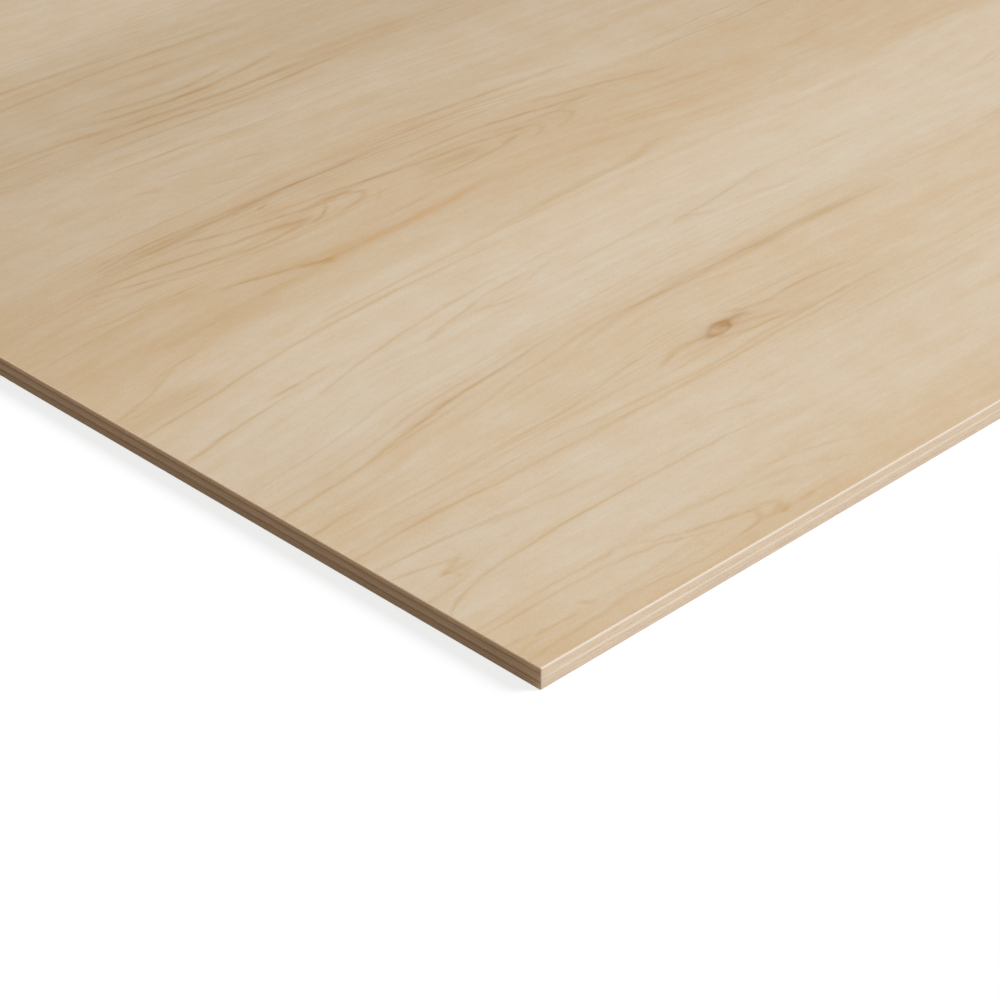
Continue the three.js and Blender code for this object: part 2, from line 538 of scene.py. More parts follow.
# Dark growth lines: (from, to, rise of its middle over the straight line, half width, depth).
GROWTH_LINES = [
    # front edge to the first long line
    ((-30, 62), (170, 64), 0, 1.3, 0.24),
    ((140, 67), (350, 38), 8, 2.6, 0.16),
    ((-30, 54), (150, 52), 2, 1.3, 0.26),
    ((140, 53), (208, 31), 3, 1.5, 0.26),
    ((118, 62), (138, 62), 0, 1.9, 0.20),
    ((160, 58), (250, 29), -2, 1.7, 0.28),
    ((182, 32), (196, 22), 1, 1.6, 0.16),
    ((-20, 17), (30, 26), 0, 1.4, 0.22),
    ((28, 28), (64, 27), 0, 1.6, 0.24),
    ((26, 27), (34, 31), 0, 1.8, 0.20),
    ((-20, 34), (22, 32), 0, 2.2, 0.28),
    ((-30, 9), (135, 16), 2, 1.4, 0.24),
    ((118, 18), (245, 17), -6, 1.4, 0.26),
    ((250, 14), (345, 14), 1, 1.5, 0.22),
    ((265, 13), (275, 17), 0, 2.2, 0.28),
    ((286, 14), (302, 15), 0, 2.2, 0.24),
    ((262, 50), (312, 33), 1, 2.2, 0.12),
    ((338, 38), (368, 26), 0, 1.6, 0.20),
    ((366, 70), (402, 68), 0, 2.0, 0.18),
    ((72, 36), (83, 29), 0, 1.9, 0.28),
    ((80, 17), (126, 17), 1, 2.0, 0.18),
    ((292, 66), (392, 44), 3, 1.5, 0.20),
    ((-20, 74), (62, 108), 6.4, 1.5, 0.28),
    ((40, 107), (352, 110), 6, 1.2, 0.32),
    # the jagged hook by the left end
    ((-30, 149), (54, 134.5), 4, 1.5, 0.32),
    ((30, 127), (56, 135), 0, 2.6, 0.24),
    ((29, 127), (58, 126.5), 0, 2.0, 0.32),
    ((34, 127), (44, 113), 0, 3.2, 0.18),
    ((-30, 105), (44, 113.5), -1, 1.5, 0.28),
    ((-30, 163), (120, 153), 3, 1.4, 0.26),
    ((90, 155), (215, 139), -1, 2.4, 0.18),
    ((315, 143), (385, 127), 2, 1.5, 0.16),
    ((365, 146), (445, 146), 6, 1.4, 0.10),
    # the long double line and the knot's surroundings
    ((-30, 180), (130, 188), 4, 1.6, 0.25),
    ((60, 189), (430, 190), -3, 1.5, 0.25),
    ((380, 189), (600, 196.5), 1, 1.5, 0.28),
    ((-30, 193), (245, 203), 0, 1.4, 0.22),
    ((205, 204), (400, 195), -4, 1.5, 0.24),
    ((390, 194), (600, 202), 3, 1.5, 0.28),
    ((-20, 213), (300, 219), 3, 1.3, 0.16),
    ((330, 207), (560, 205), 4, 1.3, 0.20),
    ((-30, 224), (72, 235), 2, 1.9, 0.30),
    ((180, 222), (372, 243), -4, 1.4, 0.24),
    ((430, 216), (520, 206), -2, 1.6, 0.18),
    ((358, 219), (424, 227), 6, 2.9, 0.44),
    ((440, 239), (482, 228), 1, 2.7, 0.36),
    ((466, 244), (514, 231), -3, 2.1, 0.34),
    ((500, 233), (610, 231), 2, 1.6, 0.34),
    ((446, 228), (500, 214), -1, 2.4, 0.28),
    ((376, 216), (452, 213), 1, 1.2, 0.20),
    ((150, 210), (350, 218), 3, 1.2, 0.18),
    ((398, 283), (562, 272), 15, 1.8, 0.13),
    ((478, 204), (575, 204), 0, 1.2, 0.20),
    ((500, 247), (575, 246), 1, 2.0, 0.18),
    # the slanting line and the brown band that follows it
    ((-30, 259), (140, 282), -2, 1.6, 0.34),
    ((110, 278), (330, 314), 4, 1.6, 0.36),
    ((118, 275), (206, 290), 0, 1.1, 0.22),
    ((120, 282), (212, 299), 0, 4.0, 0.13),
    ((-30, 277), (110, 291), -1, 1.3, 0.16),
    ((100, 290), (330, 322), 5, 1.4, 0.16),
    ((175, 269), (400, 308), 2, 1.8, 0.18),
    ((228, 267), (290, 270), 1, 1.8, 0.16),
    ((335, 288), (470, 304), 4, 2.4, 0.20),
    ((400, 302), (740, 305), 1, 4.2, 0.26),
    ((420, 309), (720, 306), 2, 7.0, 0.14),
    # the pale stretch
    ((-30, 366), (70, 384), 0, 1.8, 0.26),
    ((60, 382), (130, 394), 0, 1.3, 0.14),
    ((104, 398), (178, 405), 0, 1.8, 0.24),
    ((110, 399), (140, 401), 0, 1.5, 0.22),
    ((148, 404), (176, 406), 1, 2.6, 0.16),
    ((10, 372), (112, 391), 0, 1.3, 0.20),
    ((318, 390), (374, 380), -2, 1.4, 0.20),
    ((386, 396), (432, 409), 1, 1.6, 0.16),
    ((450, 391), (600, 397), 1, 1.5, 0.15),
    ((570, 384), (600, 371), 0, 2.0, 0.15),
    ((258, 380), (276, 386), 0, 2.2, 0.20),
    ((140, 376), (330, 414), 5, 1.5, 0.30),
    ((280, 411), (470, 420), 2, 1.4, 0.14),
    ((252, 381), (330, 397), 2, 1.7, 0.22),
    ((310, 394), (400, 407), 3, 1.7, 0.24),
    ((170, 369), (240, 370), 1, 1.9, 0.14),
    ((550, 383), (676, 398), -1, 1.8, 0.28),
    ((552, 383), (580, 384), 0, 3.0, 0.18),
    ((640, 399), (830, 392), 4, 1.8, 0.14),
    ((632, 376), (700, 363), 0, 2.2, 0.14),
    # the honey-coloured side's boundary and streaks
    ((-30, 415), (130, 443), 0, 1.5, 0.30),
    ((100, 438), (420, 463), 7, 1.4, 0.29),
    ((190, 461), (480, 479), 3, 1.3, 0.20),
    ((440, 480), (860, 470), 4, 1.8, 0.14),
    ((-20, 449), (80, 486), -5, 1.5, 0.30),
    ((62, 484), (115, 496), 1, 1.5, 0.20),
    ((-30, 440), (90, 447), 0, 12.0, 0.26),
    ((436, 482), (640, 497), 2, 3.6, 0.30),
    ((616, 497), (668, 508), -1, 4.0, 0.26),
    ((190, 567), (290, 545), -1, 1.8, 0.34),
    ((270, 550), (303, 538), 0, 3.6, 0.33),
    ((280, 540), (505, 558), -3, 4.2, 0.36),
    ((160, 572), (345, 550), -6, 6.0, 0.17),
    ((80, 520), (300, 538), -2, 7.0, 0.22),
    ((480, 552), (780, 512), 8, 4.0, 0.15),
    # round the eyes
    ((60, 584), (190, 583), 0, 1.5, 0.22),
    ((110, 633), (262, 620), 5, 1.5, 0.31),
    ((120, 627), (262, 603), -2, 1.5, 0.31),
    ((110, 617), (330, 591), -6, 1.3, 0.26),
    ((228, 652), (262, 641), -1, 1.6, 0.28),
    ((250, 642), (384, 621), -1, 1.7, 0.31),
    ((332, 603), (363, 618), -3, 2.3, 0.37),
    ((352, 608), (364, 618), 0, 2.8, 0.14),
    ((402, 596), (420, 611), -2, 2.2, 0.20),
    ((318, 642), (620, 609), 1, 1.7, 0.30),
    ((470, 641), (690, 619), 9, 1.8, 0.28),
    ((655, 620), (695, 620), 0, 2.4, 0.26),
    ((640, 649), (800, 610), 1, 2.2, 0.28),
    ((455, 592), (580, 602), -4, 1.7, 0.26),
    ((560, 599), (584, 604), 0, 2.6, 0.26),
    ((468, 608), (548, 606), 1, 6.5, 0.28),
    ((374, 567), (448, 570), 0, 1.6, 0.28),
    ((740, 588), (830, 578), 0, 2.4, 0.20),
    # the strongest streak and the lines beside it
    ((140, 649), (250, 648), 0, 1.6, 0.18),
    ((140, 656), (262, 658), 0, 2.2, 0.28),
    ((140, 663), (300, 664), 0, 2.2, 0.26),
    ((150, 669), (340, 671), 0, 1.9, 0.23),
    ((230, 661), (500, 673), 4, 3.4, 0.26),
    ((310, 667), (450, 672), 1, 1.6, 0.22),
    ((290, 663), (410, 666), 1, 5.0, 0.15),
    ((316, 654), (330, 659), 0, 1.8, 0.32),
    ((430, 668), (620, 664), -2, 1.8, 0.20),
    ((330, 684), (520, 690), 3, 7.0, 0.14),
    ((470, 684), (690, 671), 3, 1.6, 0.23),
    ((500, 698), (740, 682), 1, 2.4, 0.29),
    ((318, 723), (352, 715), 0, 1.8, 0.22),
    ((284, 766), (336, 755), 0, 2.0, 0.18),
    ((366, 746), (398, 738), 0, 2.2, 0.20),
    ((258, 752), (284, 744), 0, 3.0, 0.20),
    # the far lines
    ((260, 801), (375, 798), 1, 1.3, 0.20),
    ((318, 801), (376, 799), 0, 1.6, 0.18),
    ((370, 796), (470, 796), -3, 1.3, 0.22),
    ((260, 822), (360, 819), 0, 1.3, 0.16),
    ((280, 840), (440, 837), 0, 1.7, 0.33),
    ((420, 837.5), (560, 836), 0, 2.4, 0.15),
    ((290, 859), (410, 855), 1, 1.8, 0.42),
    ((390, 856), (470, 845), -1, 1.8, 0.28),
    ((450, 846), (600, 856), 0, 2.2, 0.30),
    ((300, 877.5), (560, 870), -7, 2.7, 0.46),
    ((320, 896), (540, 900), -10, 2.8, 0.54),
    ((340, 912), (500, 912), -9, 2.4, 0.34),
    ((370, 931), (450, 929), 1, 3.5, 0.24),
    ((380, 964), (480, 956), 0, 2.4, 0.24),
    ((280, 980), (560, 984), 4, 2.2, 0.30),
    ((100, 1010), (520, 1002), 5, 2.0, 0.26),
]

# How much wider the growth lines are than listed, and how strong they and the hooks are.
LINE_WIDENING = 1.2
LINE_STRENGTH = 0.9

# A line fades in and out along its length: its strength at its faintest, and what is added at most.
LINE_FAINTEST = 0.3
LINE_FADING = 1.5

# Hooks where a line turns back towards the left end: (centre, half sizes, half width, depth).
HOOKS = [
    ((226, 25), (24, 10), 1.8, 0.20),
    ((250, 24), (22, 8), 1.8, 0.24),
    ((252, 611), (74, 10), 2.1, 0.40),
    ((372, 616), (33, 11.5), 2.1, 0.34),
    ((592, 603), (22, 9), 2.0, 0.20),
    ((625, 606), (32, 14), 2.0, 0.20),
]

# A hook's line fades out from right to left between these places, in half sizes from its centre.
HOOK_FADES = (-0.7, 0.5)

# The knot: its centre, its half sizes, and how far it leans across per half size along.
KNOT = (438, 228.5)
KNOT_HALF = (17.0, 8.3)
KNOT_TILT = 0.45

# The half sizes of the stretch where lines bend round it, and how far they are spread apart there.
KNOT_BEND_HALF = (60, 24)
KNOT_BEND = 0.62

# Its stain, in half sizes from its centre: an oval that fades out between two radii and is uneven by
# this much, and a rim with its radius and half width. The halo and the heart have their own sizes.
KNOT_OVAL = (1.3, 0.5)
KNOT_OVAL_DEPTH = 0.16
KNOT_UNEVENNESS = 0.5
KNOT_RIM = (0.78, 0.24)
KNOT_RIM_DEPTH = 0.2
KNOT_HALO_HALF = (40, 13)
KNOT_HALO_DEPTH = 0.14
KNOT_HEART_HALF = (10, 4)
KNOT_HEART_SHARE = 0.35

# Darker and paler spots in and beside the knot: (centre, half sizes, depth).
KNOT_SPOTS = [
    ((445, 231.5), (7, 5.5), 0.25),
    ((449, 226), (4, 4), 0.12),
    ((423, 223.5), (8, 2.2), 0.20),
    ((461, 233), (14, 4.5), 0.24),
    ((433, 229), (4.5, 2.2), -0.18),
    ((441, 226.5), (2.6, 1.8), -0.12),
]

# Colours as they display in plain light.
CREAM = srgb(217, 202, 179)
HONEY = srgb(209, 181, 143)
BLUSH = srgb(216, 182, 156)
LATEWOOD = srgb(190, 149, 82)
LATEWOOD_BROWN = srgb(178, 134, 76)
LATEWOOD_AMBER = srgb(204, 148, 80)
KNOT_BROWN = srgb(160, 111, 48)
KNOT_HEART = srgb(198, 152, 108)

# How brown the lines are across the sheet, rather than golden.
BROWN_ACROSS = [(0, 0.0), (275, 0.0), (305, 0.6), (335, 0.0), (560, 0.0), (640, 1.0), (700, 1.0),
                (800, 0.5), (1220, 0.5)]

# Where they are amber instead: the middle of the honey-coloured side's strong streak, and its half sizes.
AMBER_STREAK = (430, 551)
AMBER_STREAK_HALF = (140, 18)

# How far the grain's slow, quick and tiny waves go in mm, from side to side, and what share of the slow
# ones there is along the sheet.
SLOW_WAVER = 68
QUICK_WAVER = 6.4
TINY_WAVER = 1.8
WILDNESS_ALONG = [(0, 0.1), (900, 0.14), (1250, 1.0), (2440, 0.8)]

# How far in mm a single line's quick and tiny waves take it, and how far it slides along the grain.
LINE_QUICK_WAVER = 5.0
LINE_TINY_WAVER = 1.4
LINE_SLIDE = 8.0

# The face's patterns of noise: (cell sizes along the sheet and across it, seed, detail, roughness).
SLOW_WAVES = ((330, 62), 1, 0.0, 0.5)
QUICK_WAVES = ((90, 21), 2, 1.0, 0.5)
TINY_WAVES = ((18, 5.5), 3, 0.0, 0.5)
LINE_FADES = ((46, 3.2), 7, 1.0, 0.5)
FIBRES = ((40, 1.0), 23, 1.0, 0.6)
MOTTLE = ((11, 6), 24, 1.0, 0.6)
PORES = ((2.4, 1.5), 25, 0.0, 0.5)
BLUSHES = ((30, 13), 27, 2.0, 0.5)

# Patterns that follow the grain and make the wood more or less honey-coloured: the same, and how much
# from the pattern's lowest to its highest.
GRAIN_PATTERNS = [
    ((520, 34), 21, 1.0, 0.5, 0.3),
    ((180, 8), 22, 1.0, 0.4, 0.44),
    ((46, 17), 26, 0.0, 0.5, 0.34),
]

# How much mottle and fibres do the same.
MOTTLE_WARMTH = 0.32
FIBRE_WARMTH = 0.06

# The light that the wood gives back, and what fibres and pores add to it at most.
PLAIN_LIGHT = 0.92
FIBRE_LIGHT = 0.03
PORE_LIGHT = 0.085

# Blush comes in as its pattern rises between these values, up to this share.
BLUSH_RISE = (0.3, 0.7)
BLUSH_SHARE = 0.12

# A sanded veneer's roughness, and how much rougher and higher its raised fibres are.
SANDED_ROUGHNESS = 0.66
FIBRE_ROUGHNESS = 0.18
FIBRE_HEIGHT = 0.05 * MM

# The face's figure is drawn in bands across the sheet, parted at these distances from the front edge,
# so that each band's finish holds only what reaches it.
BAND_EDGES = (85, 175, 250, 345, 510, 600, 740, 1020)

# How many half sizes or half widths from its middle a swell, a patch or a line still shows, and how
# far in mm a line may waver from its path.
SWELL_REACH = 3.2
PATCH_REACH = 2.2
LINE_REACH = 2.6
LINE_MARGIN = 3


def touches(band, middle, spread):
    """Whether what lies this far across the sheet, give or take its spread, comes into the band."""
    low, high = band
    return middle + spread > low and middle - spread < high


def growth_field(f, x, y, slow, quick, tiny, band):
    """The wood's own coordinate across the sheet, in mm: the same along each growth line. It is the
    place across, plus how far the lines sink there, plus the swells, spread apart round the knot,
    plus three sizes of waver."""
    left = f.times(f.curve(x, LEFT_SINK_ALONG), f.curve(y, LEFT_SINK_ACROSS))
    right = f.times(f.curve(x, RIGHT_SINK_ALONG), f.curve(y, RIGHT_SINK_ACROSS))
    growth = f.plus(f.plus(y, left), right)
    for centre, size, height in SWELLS:
        if touches(band, centre[1], SWELL_REACH * size[1]):
            growth = f.times_plus(f.hill(x, y, centre, size), height, growth)
    if touches(band, KNOT[1], SWELL_REACH * KNOT_BEND_HALF[1]):
        bent = f.times(f.minus(y, KNOT[1]), f.hill(x, y, KNOT, KNOT_BEND_HALF))
        growth = f.times_plus(bent, -KNOT_BEND, growth)
    wildness = f.curve(x, WILDNESS_ALONG)
    growth = f.vary(growth, slow, f.times(wildness, SLOW_WAVER))
    growth = f.vary(growth, quick, QUICK_WAVER)
    return f.vary(growth, tiny, TINY_WAVER)


def growth_line(f, x, y, total, x_scale, x_shift, y_scale, y_shift, slope, bend, depth):
    """Adds one soft dark line to the total: depth times e to the minus (v^2 + u^4), where u runs
    from -1 to 1 along the line, and v counts half widths from its path, which is a parabola."""
    u = f.times_plus(x, x_scale, x_shift)
    u_squared = f.times(u, u)
    v = f.times_plus(y, y_scale, y_shift)
    v = f.times_plus(u, slope, v)
    v = f.times_plus(u_squared, bend, v)
    line = f.fall(f.times_plus(v, v, f.times(u_squared, u_squared)))
    return f.times_plus(line, depth, total)


def hook_line(f, x, y, total, x_scale, x_shift, y_scale, y_shift, steepness, depth):
    """Adds an ellipse's right end to the total as a soft dark line, which fades out towards the left:
    depth times e to the minus ((radius - 1) times steepness)^2, with the radius in half sizes."""
    a = f.times_plus(x, x_scale, x_shift)
    b = f.times_plus(y, y_scale, y_shift)
    radius = f.math("SQRT", f.times_plus(a, a, f.times(b, b)))
    away = f.times(f.minus(radius, 1.0), steepness)
    line = f.fall(f.times(away, away))
    line = f.times(line, f.smooth(a, *HOOK_FADES))
    return f.times_plus(line, depth, total)


def growth_lines(f, groups, vector, x, y, quick, tiny, band):
    """The single growth lines and hooks of one band, wavering a little and fading in and out."""
    across = f.vary(f.vary(y, quick, LINE_QUICK_WAVER), tiny, LINE_TINY_WAVER)
    along = f.vary(x, tiny, LINE_SLIDE)
    line, hook = groups
    total = 0.0
    for start, end, rise, half_width, depth in GROWTH_LINES:
        middle_across = (end[1] + start[1]) / 2
        slope = (end[1] - start[1]) / 2
        spread = abs(slope) + abs(rise) + LINE_REACH * half_width + LINE_MARGIN
        if not touches(band, middle_across, spread):
            continue
        middle = (end[0] + start[0]) / 2
        half_length = (end[0] - start[0]) / 2
        crown = middle_across + rise
        wide = LINE_WIDENING * half_width
        total = f.apply(line, along, across, total, 1 / half_length, -middle / half_length, 1 / wide,
                        -crown / wide, -slope / wide, rise / wide, depth)
    for centre, size, half_width, depth in HOOKS:
        if touches(band, centre[1], size[1] + LINE_REACH * half_width + LINE_MARGIN):
            total = f.apply(hook, along, across, total, 1 / size[0], -centre[0] / size[0], 1 / size[1],
                            -centre[1] / size[1], size[1] / half_width, depth)
    fading = f.noise(vector, *LINE_FADES)
    return f.times(total, f.times_plus(fading, LINE_FADING * LINE_STRENGTH, LINE_FAINTEST * LINE_STRENGTH))


def fine_rings(f, along_growth, growth, strength):
    """Faint rings a few mm apart: each darkens slowly and ends sharply, and is stronger or weaker
    than its neighbours, and along its own length."""
    crowding = f.noise_1d(growth, CROWDED_STRETCH_MM, CROWDING_SEED)
    count = f.times_plus(growth, 1 / RING_SPACING_MM, RING_COUNT_START)
    count = f.times_plus(crowding, RING_CROWDING, count)
    part = f.math("FRACT", count)
    line = f.times(f.smooth(part, *RING_DARKENS), f.smooth(part, *RING_ENDS))
    own = f.node("ShaderNodeTexWhiteNoise", noise_dimensions="1D")
    f.put(own.inputs["W"], f.math("FLOOR", count))
    patch = f.smooth(f.noise(along_growth, *RING_PATCHES), *RING_PATCH_RISE)
    own_strength = f.times_plus(own.outputs["Value"], 1 - RING_FAINTEST, RING_FAINTEST)
    return f.times(f.times(line, own_strength), f.times(patch, strength))


def knot_stain(f, x, y, uneven):
    """The knot's darkness: an uneven, tilted oval with a darker rim and a few darker and paler spots,
    in a faint halo."""
    a = f.past(x, KNOT[0], KNOT_HALF[0])
    b = f.past(y, KNOT[1], KNOT_HALF[1])
    b = f.times_plus(a, -KNOT_TILT, b)
    radius = f.math("SQRT", f.times_plus(a, a, f.times(b, b)))
    radius = f.vary(radius, uneven, KNOT_UNEVENNESS)
    oval = f.smooth(radius, *KNOT_OVAL, 0.0, KNOT_OVAL_DEPTH)
    stain = f.times_plus(f.ridge(radius, *KNOT_RIM), KNOT_RIM_DEPTH, oval)
    for centre, size, depth in KNOT_SPOTS:
        stain = f.times_plus(f.hill(x, y, centre, size), depth, stain)
    return f.times_plus(f.hill(x, y, KNOT, KNOT_HALO_HALF), KNOT_HALO_DEPTH, stain)


def face_tone(f, vector, x, y, growth, along_growth, fibre, band):
    """How honey-coloured the face is, and how bright it is: by its place, with painted shade that darkens
    it near the left end, by patterns that follow the grain, and by the tone patches."""
    warmth = f.plus(f.curve(growth, WARMTH_ACROSS), f.curve(x, WARMTH_ALONG))
    for *pattern, amount in GRAIN_PATTERNS:
        warmth = f.vary(warmth, f.noise(along_growth, *pattern), amount)
    warmth = f.vary(warmth, f.noise(vector, *MOTTLE), MOTTLE_WARMTH)
    warmth = f.vary(warmth, fibre, FIBRE_WARMTH)

    pores = f.noise(vector, *PORES)
    # Darker towards the back edge, and painted shade near the left end.
    light = f.times(f.curve(y, LIGHT_ACROSS), f.curve(x, PAINTED_SHADE_ALONG))
    fine_light = f.times_plus(pores, PORE_LIGHT, f.times_plus(fibre, FIBRE_LIGHT, PLAIN_LIGHT))
    light = f.times(light, fine_light)
    for centre, size, warmer, lighter in TONE_PATCHES:
        if touches(band, centre[1], PATCH_REACH * size[1]):
            patch = f.hill(x, y, centre, size)
            warmth = f.times_plus(patch, warmer, warmth)
            light = f.times_plus(patch, lighter, light)
    return warmth, light


def sanded(f, colour, fibre):
    """The material of a sanded veneer in this colour, rougher and raised where its fibres stand up."""
    roughness = f.times_plus(fibre, FIBRE_ROUGHNESS, SANDED_ROUGHNESS)
    return f.done(colour, roughness, fibre, FIBRE_HEIGHT)


def face_material(name, groups, band):
    """The face's finish for one band of the sheet: cream to honey-coloured wood with a faint blush,
    darkened by the rings and the growth lines, and by the knot."""
    f = Finish(name)
    vector, x, y, _ = f.coordinates_mm(FIGURE_INSET_MM)
    slow = f.noise(vector, *SLOW_WAVES)
    quick = f.noise(vector, *QUICK_WAVES)
    tiny = f.noise(vector, *TINY_WAVES)
    growth = growth_field(f, x, y, slow, quick, tiny, band)
    along_growth = f.joined(x, growth)
    fibre = f.noise(vector, *FIBRES)

    warmth, light = face_tone(f, vector, x, y, growth, along_growth, fibre, band)
    colour = f.mix(warmth, CREAM, HONEY)
    blush = f.smooth(f.noise(vector, *BLUSHES), *BLUSH_RISE, 0.0, BLUSH_SHARE)
    colour = f.mix(blush, colour, BLUSH)

    ring_strength = f.plus(f.curve(growth, RING_STRENGTH_ACROSS), f.curve(x, RING_STRENGTH_ALONG))
    rings = fine_rings(f, along_growth, growth, ring_strength)
    lines = growth_lines(f, groups, vector, x, y, quick, tiny, band)
    lines = f.times_plus(rings, RING_DEPTH, lines)
    latewood = f.mix(f.curve(y, BROWN_ACROSS), LATEWOOD, LATEWOOD_BROWN)
    if touches(band, AMBER_STREAK[1], 0):
        amber = f.hill(x, y, AMBER_STREAK, AMBER_STREAK_HALF)
        latewood = f.mix(amber, latewood, LATEWOOD_AMBER)
    colour = f.mix(f.math("MINIMUM", lines, 1.0), colour, latewood)
    if touches(band, KNOT[1], 0):
        colour = f.mix(knot_stain(f, x, y, tiny), colour, KNOT_BROWN)
        heart = f.times(f.hill(x, y, KNOT, KNOT_HEART_HALF), KNOT_HEART_SHARE)
        colour = f.mix(heart, colour, KNOT_HEART)
    # The brightness carries painted shade near the left end.
    return sanded(f, f.brighten(colour, light), fibre)


def face_materials():
    """The finishes of the face's bands, from the front edge to the back one."""
    names = ["x", "y", "total", "x scale", "x shift", "y scale", "y shift"]
    line = shared_formula("growth line", names + ["slope", "bend", "depth"], growth_line)
    hook = shared_formula("growth hook", names + ["steepness", "depth"], hook_line)
    edges = [0, *BAND_EDGES, WIDTH_MM]
    return [
        face_material(f"sanded face veneer {k + 1}", (line, hook), band)
        for k, band in enumerate(zip(edges, edges[1:]))
    ]


# -------------------------------- the back and the glued faces

# The patterns of the back and of the glued faces, written as the face's are.
BACK_WAVES = ((700, 130), 31, 1.0, 0.5)
BACK_STRIPES = ((260, 9), 32, 2.0, 0.65)
BACK_FIBRES = ((52, 0.9), 33, 1.0, 0.6)
GLUED_FIBRES = ((60, 4, 1), 41, 2.0, 0.5)

# How far the back's growth lines wander from side to side, how honey-coloured it is, what its waves
# add and its stripes vary, and how strong its rings are.
BACK_WAVER = 90.0
BACK_WARMTH = 0.3
BACK_WAVE_WARMTH = 0.6
BACK_STRIPE_WARMTH = 1.0
BACK_RING_DEPTH = 0.5

# How light the back is, and what its fibres add to it at most.
BACK_LIGHT = 0.82
BACK_FIBRE_LIGHT = 0.1

GLUED_DARK = srgb(176, 140, 98)
GLUED_PALE = srgb(206, 178, 140)
GLUED_ROUGHNESS = 0.7


def back_material():
    """The back's finish: plain broad figure, a little browner than the face."""
    f = Finish("sanded back veneer")
    vector, x, y, _ = f.coordinates_mm()
    waves = f.noise(vector, *BACK_WAVES)
    growth = f.times_plus(waves, BACK_WAVER, y)
    along_growth = f.joined(x, growth)
    stripes = f.noise(along_growth, *BACK_STRIPES)
    fibre = f.noise(vector, *BACK_FIBRES)
    warmth = f.times_plus(waves, BACK_WAVE_WARMTH, BACK_WARMTH)
    warmth = f.vary(warmth, stripes, BACK_STRIPE_WARMTH)
    colour = f.mix(warmth, CREAM, HONEY)
    colour = f.mix(fine_rings(f, along_growth, growth, BACK_RING_DEPTH), colour, LATEWOOD)
    colour = f.brighten(colour, f.times_plus(fibre, BACK_FIBRE_LIGHT, BACK_LIGHT))
    return sanded(f, colour, fibre)


def glued_material():
    """A veneer's glued face, hidden inside the sheet."""
    f = Finish("glued veneer")
    vector, _, _, _ = f.coordinates_mm()
    fibre = f.noise(vector, *GLUED_FIBRES)
    return f.done(f.mix(fibre, GLUED_DARK, GLUED_PALE), GLUED_ROUGHNESS, fibre, FIBRE_HEIGHT)


# -------------------------------- the cut edges

ARRIS_MM = ARRIS_RADIUS / MM
UPRIGHT_CORNER_MM = UPRIGHT_CORNER_RADIUS / MM
WORN_ARRIS_AND_HIGHLIGHT = srgb(213, 201, 187)
END_ARRIS_PAINTED_HIGHLIGHT = srgb(240, 208, 172)
GLUE_BROWN = srgb(120, 92, 62)

# How much of the left end's colour the right end has. The end colours are partly the end grain's own and
# partly
# painted shade: the left end, which is in shade, takes them in full, and the right end, in the light, only
# this share.
RIGHT_END_PAINTED_SHADE_SHARE = 0.35

# A veneer's stripe, across its thickness: its middle and half width as shares of the thickness, and
# how far from side to side it wanders.
STRIPE_AT = 0.72
STRIPE_HALF = 0.36
STRIPE_WANDER = 0.3

# The cut edges' patterns: (cell sizes along the edge and up it, seed, detail, roughness).
LONG_FIBRES = ((48, 0.7), 51, 2.0, 0.55)
CHECKS = ((1.1, 3.4), 52, 2.0, 0.6)
BLOTCHES = ((26, 2.2), 53, 1.0, 0.5)

# How fast the long fibres climb along the edge, and how far the checks lean along it per mm of
# height: at the ends, where veneers with their grain along the sheet are cut across, and at the sides.
FIBRE_CLIMB = 0.03
CHECK_LEAN_AT_ENDS = 0.55
CHECK_LEAN_AT_SIDES = -0.7

# How strongly the grain shows on the sides, how much more at the ends, and how strongly blotches do.
GRAIN_CONTRAST = 0.26
GRAIN_CONTRAST_AT_ENDS = 0.26
BLOTCH_CONTRAST = 0.2

# The glue's share of the colour on the sides, how much more at the ends, and how far in mm it has
# soaked into the veneer above it and the one below.
GLUE_SHARE = 0.16
GLUE_SHARE_AT_ENDS = 0.3
GLUE_SOAKED_ABOVE = 0.45
GLUE_SOAKED_BELOW = 0.4

# Where the top arris gets a painted highlight at the ends, and is worn pale with a painted highlight at
# the sides, in arris radii below the top, where the upright corners are worn pale with a painted
# highlight, in corner radii from the end, and how strongly.
END_HIGHLIGHT_BELOW_TOP = (1.3, 0.3)
END_HIGHLIGHT_SHARE = 0.95
WEAR_AND_HIGHLIGHT_BELOW_TOP = (1.5, 0.5)
WEAR_AND_HIGHLIGHT_SHARE = 0.9
CORNER_WEAR_AND_HIGHLIGHT_FROM_END = (1.2, 0.4)
CORNER_WEAR_AND_HIGHLIGHT_SHARE = 0.7

# Ends and sides blend over this many mm either way of the corner's middle.
CORNER_BLEND = 0.5

CUT_EDGE_ROUGHNESS = 0.8
CUT_EDGE_HEIGHT = 0.06 * MM


def below_top(f, z, radii, share):
    """A share that comes in between these heights, in arris radii below the top of the sheet."""
    low, high = (THICKNESS_MM - radius * ARRIS_MM for radius in radii)
    return f.smooth(z, low, high, 0.0, share)


